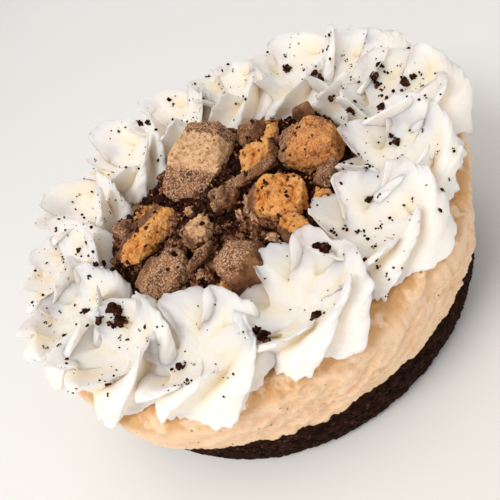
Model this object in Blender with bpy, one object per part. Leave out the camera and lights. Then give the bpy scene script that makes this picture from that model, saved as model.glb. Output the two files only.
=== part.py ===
# A small round peanut butter pie: a chocolate crumb base, a smeared mousse layer, a ring of piped
# cream and a heap of cookie crumbs with chopped sweets in the middle.
# Metres, +Z up. The origin is the middle of the underside, and the front is at -Y.
import math
import random

import bmesh
import bpy
import numpy as np
from mathutils import Euler, Matrix, Vector
from mathutils.bvhtree import BVHTree

MM = 0.001
GAP = 0.3 * MM
TURN = 2 * math.pi
WELD = 0.004 * MM

# Crumb base: a pressed disc, a little narrower at its foot
BASE_FOOT_RADIUS = 46.9 * MM
BASE_TOP_RADIUS = 49.2 * MM
BASE_HEIGHT = 12.4 * MM
BASE_ROUGHNESS = 0.45 * MM
BASE_SEGMENTS = 54

# Mousse layer: its side leans out to a soft rim
MOUSSE_FOOT = BASE_HEIGHT + GAP
MOUSSE_TOP = 30.0 * MM
MOUSSE_FOOT_RADIUS = 50.1 * MM
MOUSSE_RIM_RADIUS = 53.2 * MM
MOUSSE_RIM_DROP = 3.2 * MM
MOUSSE_FLAT_RADIUS = 49.0 * MM
MOUSSE_SEGMENTS = 66
SMEARS = 9
SMEAR_DEPTH = 0.33 * MM

# Piped cream: each dollop has thin upright fins round a hollow middle. Pairs are at the foot and at
# the tips; places and valleys are parts of the reach, the hollow and the bulge parts of the height.
CREAM_FOOT = MOUSSE_TOP + GAP
CREAM_REACH = 13.9 * MM
CREAM_SQUEEZE = 0.98
CREAM_SHADE_ANGLE = 60
FIN_SHARPNESS = (0.7, 1.0)
FIN_BLUNTNESS = (1.0, 1.8)
FIN_VALLEY = (0.86, 0.38)
FIN_TIP_PLACE = 0.64
FIN_HOLLOW = 0.36
FIN_GAP_HEIGHT = (0.4, 0.8)
FIN_TUCK = 0.14
FIN_BULGE = 0.55
FIN_DROP = (1.1, 1.9)
FIN_HOOK = (-0.06, 0.12)
FIN_HOOK_CLIMB = 0.6 * math.pi
FIN_SAMPLES = (0.0, 0.2, 0.5, 0.8)
FIN_RISES = 6
FIN_FALLS = 2
WEDGE_RADIUS = 72 * MM
WEDGE_HEIGHT = 40 * MM
# Each dollop: angle in degrees, radius of its middle, height, fins, turn and twist of its fins in
# degrees, how much higher it is at its outer side, lean outwards, lean to its left, and how near the
# pie's middle it may come; lengths in mm
DOLLOPS = (
    (270, 43.0, 10.6, 6, 0, 56, -0.18, 1.0, 0.0, 34.8),
    (295, 43.0, 11.0, 5, 20, 60, -0.16, 0.5, 0.0, 33.0),
    (320, 42.4, 12.6, 5, 35, 58, -0.12, 0.5, 0.5, 29.7),
    (345, 42.2, 12.6, 6, 10, 64, -0.08, 1.0, 0.0, 29.7),
    (10, 42.0, 12.5, 6, 45, 62, -0.02, 1.0, 0.5, 29.7),
    (35, 42.0, 14.0, 5, 20, 58, 0.06, 0.5, 0.0, 29.7),
    (61, 41.8, 13.0, 6, 0, 64, 0.1, 0.5, 0.5, 29.7),
    (87, 41.8, 13.0, 5, 30, 60, 0.1, 0.5, 0.0, 29.7),
    (112, 42.0, 13.6, 6, 15, 64, 0.08, 1.0, -1.0, 29.7),
    (138, 42.0, 13.6, 5, 40, 60, 0.06, 1.0, 0.0, 29.7),
    (164, 42.2, 13.5, 6, 5, 64, 0.0, 1.5, 0.0, 29.7),
    (190, 42.0, 12.5, 6, 25, 62, -0.04, 1.5, 0.5, 29.7),
    (217, 42.0, 12.2, 5, 15, 60, -0.1, 1.0, 0.0, 29.7),
    (243, 42.8, 10.8, 6, 30, 60, -0.12, 0.5, 0.0, 31.4),
)

# Cookie crumbs lying on the cream: angle in degrees, radius and size in mm, the largest by hand
CREAM_CRUMBS = (
    (217, 37.4, 4.2), (15, 37.0, 3.8), (347, 41.8, 4.0), (340, 46.6, 3.6), (341, 34.5, 3.2),
    (319, 41.6, 3.2), (260, 46.5, 3.2), (96, 43.0, 3.0), (63, 38.4, 3.0), (210, 39.2, 2.4),
    (77, 45.0, 2.6), (34, 39.7, 2.6), (355, 33.5, 2.8), (122, 36.5, 2.4), (186, 33.0, 2.6),
    (243, 47.5, 2.4), (281, 40.6, 2.8), (309, 38.7, 2.4), (287, 41.5, 2.4), (10, 42.2, 2.6),
)
SPARE_CRUMBS = 10
SPARE_CRUMB_SIZE = (1.9, 2.6)
SPARE_CRUMB_RADIUS = (33, 50)
CREAM_CRUMB_RISE = 0.12

# Crumb heap: a low mound in the ring's hole
HEAP_FOOT = MOUSSE_TOP + GAP
HEAP_RADIUS = 29.9 * MM
HEAP_HEIGHT = 7.4 * MM
HEAP_EDGE_HEIGHT = 3.2 * MM
HEAP_SEGMENTS = 26
HEAP_RINGS = 5
HEAP_CRUMBS = 60
HEAP_SHADE_ANGLE = 20
HEAP_CRUMB_SIZE = (2.6, 5.6)
HEAP_CRUMB_RISE = 0.24
HEAP_CRUMB_REACH = 0.66
HEAP_CRUMB_SPACING = 0.42

# Chopped sweets on the heap: middle x and y, height of the middle, length, width and thickness in mm,
# then turn about Z, tilt about the length and tilt across it in degrees
SWEETS = {
    "sweet_dusted": ((0.2, 7.6, 40.0), (22.0, 16.5, 8.5), (20, 24, -12)),
    "sweet_triangle": ((14.2, 9.4, 37.6), (8.5, 7.5, 5.4), (-35, 25, 0)),
    "sweet_nutty_back": ((11.4, -3.0, 38.6), (10.0, 8.4, 7.2), (-12, 18, 8)),
    "sweet_nutty_right": ((21.4, -11.8, 38.8), (17.5, 11.0, 10.0), (-36, 18, 6)),
    "sweet_nutty_small": ((18.2, 5.6, 36.4), (5.5, 4.4, 4.4), (20, 0, 0)),
    "sweet_nutty_front": ((8.6, -19.4, 38.4), (13.0, 11.0, 9.0), (-32, 24, 4)),
    "sweet_flake_back": ((8.4, -9.6, 40.2), (12.0, 3.2, 2.6), (-8, 30, 6)),
    "sweet_brown_middle": ((0.4, -8.0, 39.2), (8.4, 7.4, 6.8), (60, 10, 0)),
    "sweet_shard_right": ((20.0, -20.8, 37.2), (10.4, 6.0, 5.0), (48, -28, 10)),
    "sweet_bit_right": ((15.6, -24.2, 36.0), (5.4, 4.0, 4.2), (60, 10, 0)),
    "sweet_layered_left": ((-19.0, -1.0, 37.2), (17.0, 9.4, 9.0), (22, 34, 0)),
    "sweet_bit_left": ((-23.4, 6.8, 36.8), (6.8, 6.0, 7.0), (70, 0, 10)),
    "sweet_slab_left": ((-19.4, -15.4, 36.6), (13.0, 10.4, 8.4), (-24, 26, -8)),
    "sweet_block_front": ((-4.6, -28.6, 37.6), (11.6, 10.4, 12.4), (8, 24, 0)),
    "sweet_wedge_front": ((7.2, -29.0, 35.8), (11.0, 6.4, 7.0), (-84, 0, 26)),
    "sweet_clump_middle": ((-8.6, -13.4, 38.4), (8.8, 7.2, 6.6), (18, 10, 0)),
    "sweet_flake_front": ((-10.8, -19.6, 38.0), (8.4, 3.4, 3.2), (20, 24, 0)),
    "sweet_bit_front": ((-12.4, -28.2, 34.6), (4.6, 4.2, 5.0), (0, 0, 0)),
    "sweet_chip_right": ((27.0, 5.0, 36.2), (5.6, 4.0, 5.4), (-20, 25, 0)),
}
SWEET_POINTS = 22
SWEET_CORNER = 4.0
SWEET_SHADE_ANGLE = 25
SWEET_SPACING = 1.6 * GAP


def clear_scene():
    for obj in list(bpy.data.objects):
        bpy.data.objects.remove(obj, do_unlink=True)


def food_material(name, colour, roughness):
    material = bpy.data.materials.new(name)
    material.use_nodes = True
    shader = material.node_tree.nodes["Principled BSDF"]
    shader.inputs["Base Color"].default_value = (*colour, 1.0)
    shader.inputs["Roughness"].default_value = roughness
    shader.inputs["Metallic"].default_value = 0.0
    return material


def add_object(name, mesh, material=None):
    obj = bpy.data.objects.new(name, mesh)
    bpy.context.scene.collection.objects.link(obj)
    if material:
        obj.data.materials.append(material)
    return obj


def smooth(obj, angle=32):
    obj.data.shade_smooth()
    obj.data.set_sharp_from_angle(angle=math.radians(angle))


def polar(angle, radius):
    return Vector((radius * math.cos(angle), radius * math.sin(angle), 0.0))


def mesh_from_rings(name, rings, low_middle, high_middle):
    """Closed mesh through rings of points, each the same length, from the underside to the top."""
    count = len(rings[0])
    points = [tuple(low_middle)] + [tuple(p) for ring in rings for p in ring] + [tuple(high_middle)]
    faces = []
    for k in range(count):
        faces.append((0, 1 + (k + 1) % count, 1 + k))
    for level in range(len(rings) - 1):
        low = 1 + level * count
        high = low + count
        for k in range(count):
            after = (k + 1) % count
            faces.append((low + k, low + after, high + after))
            faces.append((low + k, high + after, high + k))
    last = 1 + (len(rings) - 1) * count
    top = len(points) - 1
    for k in range(count):
        faces.append((last + k, last + (k + 1) % count, top))
    mesh = bpy.data.meshes.new(name)
    mesh.from_pydata(points, [], faces)
    mesh.update()
    return mesh


def turned(name, profile, segments, relief):
    """Closed turned shape through (radius, height) points, pushed out by relief(angle, step)."""
    rings = []
    for step, (radius, height) in enumerate(profile):
        ring = []
        for k in range(segments):
            angle = TURN * k / segments
            place = polar(angle, radius + relief(angle, step))
            ring.append((place.x, place.y, height))
        rings.append(ring)
    low = (0.0, 0.0, profile[0][1])
    high = (0.0, 0.0, profile[-1][1])
    return mesh_from_rings(name, rings, low, high)


def make_base():
    draw = random.Random(11)
    profile = (
        (BASE_FOOT_RADIUS, 0.0),
        (BASE_FOOT_RADIUS + 1.1 * MM, 2.2 * MM),
        (0.5 * (BASE_FOOT_RADIUS + BASE_TOP_RADIUS) + 0.5 * MM, 0.5 * BASE_HEIGHT),
        (BASE_TOP_RADIUS, 0.8 * BASE_HEIGHT),
        (BASE_TOP_RADIUS - 0.2 * MM, BASE_HEIGHT),
    )

    def crumbly(angle, step):
        return draw.uniform(-BASE_ROUGHNESS, BASE_ROUGHNESS)

    mesh = turned("crumb_base", profile, BASE_SEGMENTS, crumbly)
    base = add_object("crumb_base", mesh, food_material("dark_crumb", (0.018, 0.011, 0.009), 0.85))
    smooth(base)


def mousse_profile():
    """Foot, leaning side, then a quarter round over the rim to the flat top."""
    side = []
    rim_height = MOUSSE_TOP - MOUSSE_RIM_DROP
    for part in (0.0, 0.12, 0.35, 0.6, 0.82):
        lean = math.sin(0.5 * math.pi * part)
        radius = MOUSSE_FOOT_RADIUS + (MOUSSE_RIM_RADIUS - MOUSSE_FOOT_RADIUS) * lean
        side.append((radius, MOUSSE_FOOT + (rim_height - MOUSSE_FOOT) * part))
    for degrees in (0, 35, 65, 90):
        turn = math.radians(degrees)
        radius = MOUSSE_FLAT_RADIUS + (MOUSSE_RIM_RADIUS - MOUSSE_FLAT_RADIUS) * math.cos(turn)
        side.append((radius, rim_height + MOUSSE_RIM_DROP * math.sin(turn)))
    return side


def make_mousse():
    draw = random.Random(5)
    profile = mousse_profile()
    smears = []
    for k in range(SMEARS):
        waves = draw.randint(3, 13)
        climb = draw.uniform(-260, 260)
        smears.append((waves, climb, SMEAR_DEPTH * draw.uniform(0.6, 1.2), draw.uniform(0, TURN)))

    def smeared(angle, step):
        if step in (0, len(profile) - 1):
            return 0.0
        height = profile[step][1]
        return sum(depth * math.sin(waves * angle + climb * height + phase)
                   for waves, climb, depth, phase in smears)

    mesh = turned("mousse_layer", profile, MOUSSE_SEGMENTS, smeared)
    mousse = add_object("mousse_layer", mesh, food_material("mousse", (0.73, 0.47, 0.27), 0.5))
    smooth(mousse)


def fin_values(fins, turn, height, tilt, draw):
    """Direction, reach, tip height, tip place, hook and the height of the gap after it, for each fin."""
    values = []
    for k in range(fins):
        direction = math.radians(turn) + TURN * (k + draw.uniform(-0.18, 0.18)) / fins
        reach = CREAM_REACH * (1 + draw.uniform(-0.12, 0.04))
        outward = math.cos(direction)
        tip = height * (1 + tilt * outward + draw.uniform(-0.14, 0.14))
        place = FIN_TIP_PLACE + draw.uniform(-0.12, 0.12)
        hook = draw.uniform(*FIN_HOOK) * TURN / fins
        values.append((direction, reach, tip, place, hook, height * draw.uniform(*FIN_GAP_HEIGHT)))
    first = values[0]
    values.append((first[0] + TURN, *first[1:]))
    return np.array(values)


def between(pair, part):
    return pair[0] + (pair[1] - pair[0]) * part


def fin_sections(values, twist, samples, rises, falls):
    """Rings of a dollop in its own frame, as an array of ring, sample and x, y, z."""
    fins = len(values) - 1
    part = np.tile(np.array(samples), fins)
    low = np.repeat(np.arange(fins), len(samples))
    blend = part * part * (3 - 2 * part)
    direction = values[low, 0] * (1 - part) + values[low + 1, 0] * part
    blended = values[low] * (1 - blend[:, None]) + values[low + 1] * blend[:, None]
    _, reach, tip, tip_place, hook, _ = blended.T
    gap = values[low, 5]
    middle = FIN_HOLLOW * values[:-1, 2].mean()
    rings = []
    for step in range(rises + falls):
        rise = min(step / (rises - 1), 1.0)
        fall = max(step - rises + 1, 0) / (falls + 1)
        turn = 0.5 * math.pi * rise
        valley = np.sin(math.pi * part) ** between(FIN_BLUNTNESS, rise)
        ridge = (1 - valley) ** between(FIN_SHARPNESS, rise)
        tuck = 1 - FIN_TUCK * (1 - rise) ** 3
        fin_out = tuck * (tip_place + (1 - tip_place) * math.cos(turn)) * (1 - fall) ** FIN_DROP[0]
        fin_up = tip * (FIN_BULGE * math.sin(turn) + (1 - FIN_BULGE) * rise)
        if fall:
            fin_up = middle + (fin_up - middle) * (1 - fall) ** FIN_DROP[1]
        dip_out = tuck * between(FIN_VALLEY, 1 - math.cos(turn)) * (1 - fall)
        dip_up = gap * math.sin(turn)
        if fall:
            dip_up = middle + (dip_up - middle) * (1 - fall) ** FIN_DROP[1]
        out = reach * (dip_out + (fin_out - dip_out) * ridge)
        up = dip_up + (fin_up - dip_up) * ridge
        angle = direction + twist * rise + hook * ridge * math.sin(FIN_HOOK_CLIMB * rise)
        rings.append(np.stack([out * np.cos(angle), CREAM_SQUEEZE * out * np.sin(angle), up], axis=1))
    return np.array(rings), middle


def dollop_rings(row, seed, samples, rises, falls):
    """Rings of one dollop and its hollow's middle, leaned and placed on the pie."""
    angle, radius, height, fins, turn, twist, tilt, lean_out, lean_left, nearest = row
    values = fin_values(fins, turn, height * MM, tilt, random.Random(seed))
    rings, middle = fin_sections(values, math.radians(twist), samples, rises, falls)
    rise = (rings[:, :, 2] / (height * MM)) ** 2
    rings[:, :, 0] += lean_out * MM * rise
    rings[:, :, 1] += lean_left * MM * rise
    turn_in = math.radians(angle)
    along = np.array([math.cos(turn_in), math.sin(turn_in), 0.0])
    across = np.array([-math.sin(turn_in), math.cos(turn_in), 0.0])
    foot = along * radius * MM + np.array([0.0, 0.0, CREAM_FOOT])
    upright = np.array([0.0, 0.0, 1.0])
    placed = foot + rings[:, :, :1] * along + rings[:, :, 1:2] * across + rings[:, :, 2:] * upright
    return placed, foot, foot + np.array([0.0, 0.0, middle])


def apply_boolean(obj, operation, tool=None, collection=None):
    cut = obj.modifiers.new("cut", "BOOLEAN")
    cut.operation = operation
    cut.solver = "EXACT"
    if collection:
        cut.operand_type = "COLLECTION"
        cut.collection = collection
    else:
        cut.object = tool
    with bpy.context.temp_override(object=obj):
        bpy.ops.object.modifier_apply(modifier=cut.name)


def remove_object(obj):
    mesh = obj.data
    bpy.data.objects.remove(obj, do_unlink=True)
    bpy.data.meshes.remove(mesh)


def keep_largest(obj):
    """Drops the loose scraps that a cut leaves."""
    work = bmesh.new()
    work.from_mesh(obj.data)
    bmesh.ops.remove_doubles(work, verts=work.verts, dist=WELD)
    left = set(work.verts)
    islands = []
    while left:
        island = set()
        front = [left.pop()]
        while front:
            vert = front.pop()
            island.add(vert)
            for edge in vert.link_edges:
                other = edge.other_vert(vert)
                if other in left:
                    left.discard(other)
                    front.append(other)
        islands.append(island)
    islands.sort(key=len, reverse=True)
    scraps = [vert for island in islands[1:] for vert in island]
    bmesh.ops.delete(work, geom=scraps, context="VERTS")
    bmesh.ops.triangulate(work, faces=work.faces)
    work.to_mesh(obj.data)
    work.free()


def wedge_between(angle, before, after, nearest):
    """The space that one dollop may fill: between its neighbours and outside the hole."""
    half_before = 0.5 * math.radians((angle - before) % 360)
    half_after = 0.5 * math.radians((after - angle) % 360)
    middle = math.radians(angle)
    corners = []
    for half, side in ((-half_before, 1), (half_after, -1)):
        ray = middle + half
        inward = Vector((-math.sin(ray), math.cos(ray), 0.0)) * side * 0.5 * GAP
        near = nearest * MM / math.cos(half)
        corners.append((polar(ray, near) + inward, polar(ray, WEDGE_RADIUS) + inward))
    points = []
    for height in (CREAM_FOOT - MM, CREAM_FOOT + WEDGE_HEIGHT):
        for near, far in corners:
            points.append(near + Vector((0, 0, height)))
            points.append(far + Vector((0, 0, height)))
    work = bmesh.new()
    for point in points:
        work.verts.new(point)
    bmesh.ops.convex_hull(work, input=work.verts)
    bmesh.ops.recalc_face_normals(work, faces=work.faces)
    mesh = bpy.data.meshes.new("wedge")
    work.to_mesh(mesh)
    work.free()
    return add_object("wedge", mesh)


def crumb_mesh(size, draw, rough=0.22):
    """A lumpy grain of about 20 faces."""
    work = bmesh.new()
    bmesh.ops.create_icosphere(work, subdivisions=1, radius=0.5 * size)
    stretch = Vector((draw.uniform(0.8, 1.2), draw.uniform(0.75, 1.1), draw.uniform(0.6, 0.95)))
    for vert in work.verts:
        push = draw.uniform(1 - rough, 1 + rough)
        vert.co = Vector([c * s * push for c, s in zip(vert.co, stretch)])
    turn = Euler([draw.uniform(0, TURN) for _ in range(3)]).to_matrix()
    bmesh.ops.rotate(work, verts=work.verts, matrix=turn)
    mesh = bpy.data.meshes.new("crumb")
    work.to_mesh(mesh)
    work.free()
    return mesh


def crumb_places():
    """Where crumbs lie on the cream: those placed by hand, then seeded ones in between."""
    draw = random.Random(23)
    places = [(math.radians(a), r * MM, s * MM) for a, r, s in CREAM_CRUMBS]
    for k in range(SPARE_CRUMBS):
        angle = TURN * (k + draw.uniform(0.2, 0.8)) / SPARE_CRUMBS
        radius = draw.uniform(*SPARE_CRUMB_RADIUS) * MM
        places.append((angle, radius, draw.uniform(*SPARE_CRUMB_SIZE) * MM))
    return places


def make_cream():
    material = food_material("whipped_cream", (0.93, 0.91, 0.87), 0.45)
    dollops = []
    for index, row in enumerate(DOLLOPS):
        rings, low, high = dollop_rings(row, 100 + index, FIN_SAMPLES, FIN_RISES, FIN_FALLS)
        name = f"cream_dollop_{index + 1:02d}"
        dollops.append(add_object(name, mesh_from_rings(name, rings, low, high), material))
    add_crumbs_to(dollops)
    for index, (row, dollop) in enumerate(zip(DOLLOPS, dollops)):
        before = DOLLOPS[index - 1][0]
        after = DOLLOPS[(index + 1) % len(DOLLOPS)][0]
        wedge = wedge_between(row[0], before, after, row[9])
        apply_boolean(dollop, "INTERSECT", tool=wedge)
        remove_object(wedge)
        keep_largest(dollop)
        smooth(dollop, CREAM_SHADE_ANGLE)


def add_crumbs_to(dollops):
    """Fuses each crumb to the dollop whose surface it lies on."""
    draw = random.Random(31)
    trees = []
    for dollop in dollops:
        work = bmesh.new()
        work.from_mesh(dollop.data)
        trees.append(BVHTree.FromBMesh(work))
        work.free()
    groups = {}
    for angle, radius, size in crumb_places():
        start = polar(angle, radius) + Vector((0, 0, CREAM_FOOT + WEDGE_HEIGHT))
        hits = [(tree.ray_cast(start, Vector((0, 0, -1)))[0], k) for k, tree in enumerate(trees)]
        hits = [(hit, k) for hit, k in hits if hit]
        if not hits:
            continue
        hit, index = max(hits, key=lambda found: found[0].z)
        crumb = add_object("crumb", crumb_mesh(size, draw))
        crumb.location = hit + Vector((0, 0, CREAM_CRUMB_RISE * size))
        groups.setdefault(index, []).append(crumb)
    for index, crumbs in groups.items():
        fuse(dollops[index], crumbs)


def fuse(obj, pieces):
    """One Boolean union of a body with a collection of small pieces, which then go."""
    group = bpy.data.collections.new("pieces")
    bpy.context.scene.collection.children.link(group)
    for piece in pieces:
        bpy.context.scene.collection.objects.unlink(piece)
        group.objects.link(piece)
    bpy.context.view_layer.update()
    apply_boolean(obj, "UNION", collection=group)
    for piece in pieces:
        remove_object(piece)
    bpy.data.collections.remove(group)


def hole_walls():
    """Direction and distance of the flat inner wall of each dollop, seen from the pie's axis."""
    return [(polar(math.radians(row[0]), 1.0), row[9] * MM - GAP) for row in DOLLOPS]


def inside_hole(point, spare=0.0):
    """Moves a point in until it is clear of every dollop."""
    for direction, limit in hole_walls():
        over = point.x * direction.x + point.y * direction.y - (limit - spare)
        if over > 0:
            point = point - direction * over
    return point


def heap_surface(angle, part):
    """Height of the bare mound at a part of its radius."""
    dome = HEAP_EDGE_HEIGHT + (HEAP_HEIGHT - HEAP_EDGE_HEIGHT) * math.cos(0.5 * math.pi * part) ** 1.2
    lumps = 0.5 * math.sin(3 * angle + 1.0) + 0.4 * math.sin(5 * angle - 7 * part)
    return dome + lumps * MM * part


def heap_rings(grow):
    """Rings of the bare mound, with its surface pushed out by grow."""
    rings = []
    foot = HEAP_FOOT - grow
    for step in range(HEAP_RINGS + 1):
        part = min(1.0, 1.0 - (step - 1) / HEAP_RINGS)
        ring = []
        for k in range(HEAP_SEGMENTS):
            angle = TURN * k / HEAP_SEGMENTS
            place = inside_hole(polar(angle, part * HEAP_RADIUS + grow), -grow)
            top = heap_surface(angle, part) + 2 * grow if step else 0.0
            ring.append((place.x, place.y, foot + top))
        rings.append(ring)
    return rings, (0, 0, foot), (0, 0, foot + heap_surface(0, 0) + 2 * grow)


def sweet_mesh(name, size, seed):
    """A chopped piece: the hull of seeded points spread over a rounded box."""
    draw = random.Random(seed)
    work = bmesh.new()
    for _ in range(SWEET_POINTS):
        way = Vector([draw.gauss(0, 1) for _ in range(3)]).normalized()
        fullness = sum(abs(c) ** SWEET_CORNER for c in way) ** (-1 / SWEET_CORNER)
        out = fullness * draw.uniform(0.84, 1.0)
        work.verts.new([0.5 * MM * s * c * out for s, c in zip(size, way)])
    bmesh.ops.convex_hull(work, input=work.verts)
    loose = [vert for vert in work.verts if not vert.link_faces]
    bmesh.ops.delete(work, geom=loose, context="VERTS")
    bmesh.ops.recalc_face_normals(work, faces=work.faces)
    mesh = bpy.data.meshes.new(name)
    work.to_mesh(mesh)
    work.free()
    return mesh


def place_sweet(mesh, middle, turns):
    """Turns a piece, puts it on the heap and moves its points clear of the cream."""
    yaw, roll, pitch = (math.radians(t) for t in turns)
    spin = Matrix.Rotation(yaw, 3, "Z") @ Matrix.Rotation(roll, 3, "X") @ Matrix.Rotation(pitch, 3, "Y")
    offset = Vector(middle) * MM
    for vert in mesh.vertices:
        vert.co = inside_hole(spin @ vert.co + offset)


def grown_copy(obj, grow):
    """A convex piece pushed out all round, to cut its neighbours with."""
    work = bmesh.new()
    work.from_mesh(obj.data)
    middle = sum((vert.co for vert in work.verts), Vector()) / len(work.verts)
    for vert in work.verts:
        way = (vert.co - middle).normalized()
        vert.co += way * grow
    mesh = bpy.data.meshes.new("grown")
    work.to_mesh(mesh)
    work.free()
    return add_object("grown", mesh)


def boxes_meet(first, second, spare):
    low_a, high_a = bounds(first)
    low_b, high_b = bounds(second)
    return all(low_a[k] < high_b[k] + spare and low_b[k] < high_a[k] + spare for k in range(3))


def bounds(obj):
    points = [vert.co for vert in obj.data.vertices]
    low = [min(p[k] for p in points) for k in range(3)]
    high = [max(p[k] for p in points) for k in range(3)]
    return low, high


def make_sweets():
    looks = {
        "chocolate": food_material("sweet_chocolate", (0.14, 0.065, 0.045), 0.5),
        "nutty": food_material("sweet_peanut", (0.62, 0.30, 0.09), 0.7),
    }
    core = add_object("core", mesh_from_rings("core", *heap_rings(GAP)))
    sweets = []
    for seed, (name, (middle, size, turns)) in enumerate(SWEETS.items()):
        mesh = sweet_mesh(name, size, 40 + seed)
        place_sweet(mesh, middle, turns)
        look = looks["nutty" if "nutty" in name or "layered" in name else "chocolate"]
        sweet = add_object(name, mesh, look)
        for other in sweets:
            if boxes_meet(sweet, other, GAP):
                tool = grown_copy(other, SWEET_SPACING)
                apply_boolean(sweet, "DIFFERENCE", tool=tool)
                remove_object(tool)
        sweets.append(sweet)
    for sweet in sweets:
        apply_boolean(sweet, "DIFFERENCE", tool=core)
        keep_largest(sweet)
        smooth(sweet, SWEET_SHADE_ANGLE)
    remove_object(core)
    return sweets


def make_heap(sweets):
    heap = add_object("crumb_heap", mesh_from_rings("crumb_heap", *heap_rings(0.0)),
                      food_material("cookie_crumb", (0.028, 0.014, 0.010), 0.9))
    trees = []
    for sweet in sweets:
        work = bmesh.new()
        work.from_mesh(sweet.data)
        trees.append(BVHTree.FromBMesh(work))
        work.free()
    draw = random.Random(71)
    crumbs = []
    tries = 0
    while len(crumbs) < HEAP_CRUMBS and tries < 40 * HEAP_CRUMBS:
        tries += 1
        size = between(HEAP_CRUMB_SIZE, draw.random() ** 2) * MM
        angle = draw.uniform(0, TURN)
        part = math.sqrt(draw.random())
        place = polar(angle, part * (HEAP_RADIUS - 0.3 * size))
        place.z = HEAP_FOOT + heap_surface(angle, part) + HEAP_CRUMB_RISE * size
        if (inside_hole(place, HEAP_CRUMB_REACH * size) - place).length > 0:
            continue
        if any(touches(tree, place, HEAP_CRUMB_REACH * size + GAP) for tree in trees):
            continue
        if any((place - other.location).length < HEAP_CRUMB_SPACING * (size + other["size"])
               for other in crumbs):
            continue
        crumb = add_object("crumb", crumb_mesh(size, draw))
        crumb.location = place
        crumb["size"] = size
        crumbs.append(crumb)
    fuse(heap, crumbs)
    keep_largest(heap)
    smooth(heap, HEAP_SHADE_ANGLE)


def touches(tree, place, reach):
    """True if a solid comes within reach of a place, or holds it."""
    spot, normal, _, distance = tree.find_nearest(place)
    return distance < reach or (place - spot).dot(normal) < 0


clear_scene()
make_base()
make_mousse()
make_cream()
make_heap(make_sweets())
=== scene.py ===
# A small round peanut butter mousse pie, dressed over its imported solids.
# Metres, +Z up, front at -Y.
import math
import random

import bmesh
import bpy
import numpy as np
from mathutils import Euler, Matrix, Vector, noise
from mathutils.bvhtree import BVHTree


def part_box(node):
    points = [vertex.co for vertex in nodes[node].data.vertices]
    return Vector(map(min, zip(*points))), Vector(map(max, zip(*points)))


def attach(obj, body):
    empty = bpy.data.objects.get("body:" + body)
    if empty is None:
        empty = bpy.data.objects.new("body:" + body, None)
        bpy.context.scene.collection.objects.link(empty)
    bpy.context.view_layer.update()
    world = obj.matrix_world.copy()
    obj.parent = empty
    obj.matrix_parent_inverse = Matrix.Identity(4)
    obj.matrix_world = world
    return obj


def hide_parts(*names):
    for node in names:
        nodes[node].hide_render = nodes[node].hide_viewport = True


mm = 0.001
fullTurn = 2 * math.pi

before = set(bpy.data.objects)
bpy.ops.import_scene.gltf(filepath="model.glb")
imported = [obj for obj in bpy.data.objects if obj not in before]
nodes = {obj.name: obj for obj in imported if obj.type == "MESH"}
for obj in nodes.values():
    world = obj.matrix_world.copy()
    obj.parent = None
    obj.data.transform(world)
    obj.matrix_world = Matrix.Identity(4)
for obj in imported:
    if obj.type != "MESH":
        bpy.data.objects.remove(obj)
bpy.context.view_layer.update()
print("frame loaded")


def settle(thing, **settings):
    for key, setting in settings.items():
        setattr(thing, key, setting)


# Shader maths: values add their Math nodes, everything else comes from Finish.add

class Value:
    def __init__(self, finish, socket):
        self.finish = finish
        self.socket = socket

    def maths(self, operation, first, second):
        made = self.finish.add("ShaderNodeMath", {0: first, 1: second}, operation=operation)
        return Value(self.finish, made.outputs[0])

    def __add__(self, other):
        return self.maths("ADD", self, other)

    def __sub__(self, other):
        return self.maths("SUBTRACT", self, other)

    def __rsub__(self, other):
        return self.maths("SUBTRACT", other, self)

    def __mul__(self, other):
        return self.maths("MULTIPLY", self, other)

    __radd__ = __add__
    __rmul__ = __mul__

    def above(self, low, high):
        # 0 under low, 1 over high, smooth in between
        made = self.finish.add("ShaderNodeMapRange", {0: self, 1: low, 2: high},
                               interpolation_type="SMOOTHSTEP")
        return Value(self.finish, made.outputs[0])


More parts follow.
